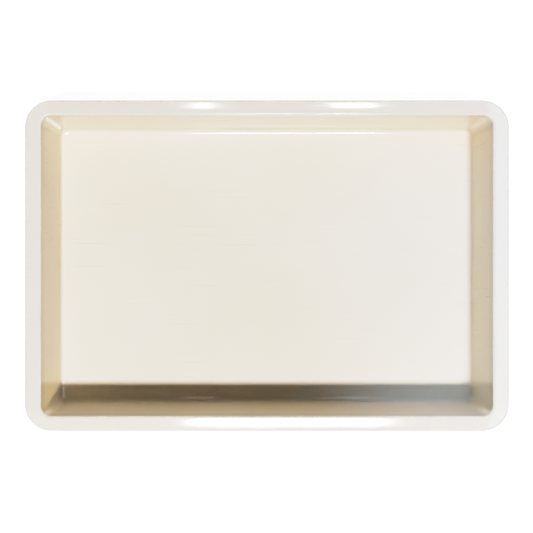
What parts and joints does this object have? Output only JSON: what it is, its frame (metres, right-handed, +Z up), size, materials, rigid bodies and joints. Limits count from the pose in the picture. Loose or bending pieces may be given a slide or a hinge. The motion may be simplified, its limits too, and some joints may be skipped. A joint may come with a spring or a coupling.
{
  "type": "developing tray",
  "caption": "Deep rectangular tray with drafted walls, rounded corners, a flat rim flange and a turned-down lip, for holding processing chemicals.",
  "frame": {"origin": "middle of the underside of the floor, on the surface that the tray stands on", "axes": "+Z up out of the tray, +X along its length to the right end, +Y across it to the rear side"},
  "size_m": [0.508, 0.347, 0.076],
  "materials": {
    "ivory_plastic": "gloss"
  },
  "bodies": {
    "root": {"floor_panel": "ivory_plastic", "cove_right": "ivory_plastic", "cove_rear": "ivory_plastic", "cove_left": "ivory_plastic", "cove_front": "ivory_plastic", "cove_corner_rear_right": "ivory_plastic", "cove_corner_rear_left": "ivory_plastic", "cove_corner_front_left": "ivory_plastic", "cove_corner_front_right": "ivory_plastic", "wall_right": "ivory_plastic", "wall_rear": "ivory_plastic", "wall_left": "ivory_plastic", "wall_front": "ivory_plastic", "wall_corner_rear_right": "ivory_plastic", "wall_corner_rear_left": "ivory_plastic", "wall_corner_front_left": "ivory_plastic", "wall_corner_front_right": "ivory_plastic", "flange_right": "ivory_plastic", "flange_rear": "ivory_plastic", "flange_left": "ivory_plastic", "flange_front": "ivory_plastic", "flange_corner_rear_right": "ivory_plastic", "flange_corner_rear_left": "ivory_plastic", "flange_corner_front_left": "ivory_plastic", "flange_corner_front_right": "ivory_plastic", "lip_right": "ivory_plastic", "lip_rear": "ivory_plastic", "lip_left": "ivory_plastic", "lip_front": "ivory_plastic", "lip_corner_rear_right": "ivory_plastic", "lip_corner_rear_left": "ivory_plastic", "lip_corner_front_left": "ivory_plastic", "lip_corner_front_right": "ivory_plastic"}
  },
  "joints": []
}
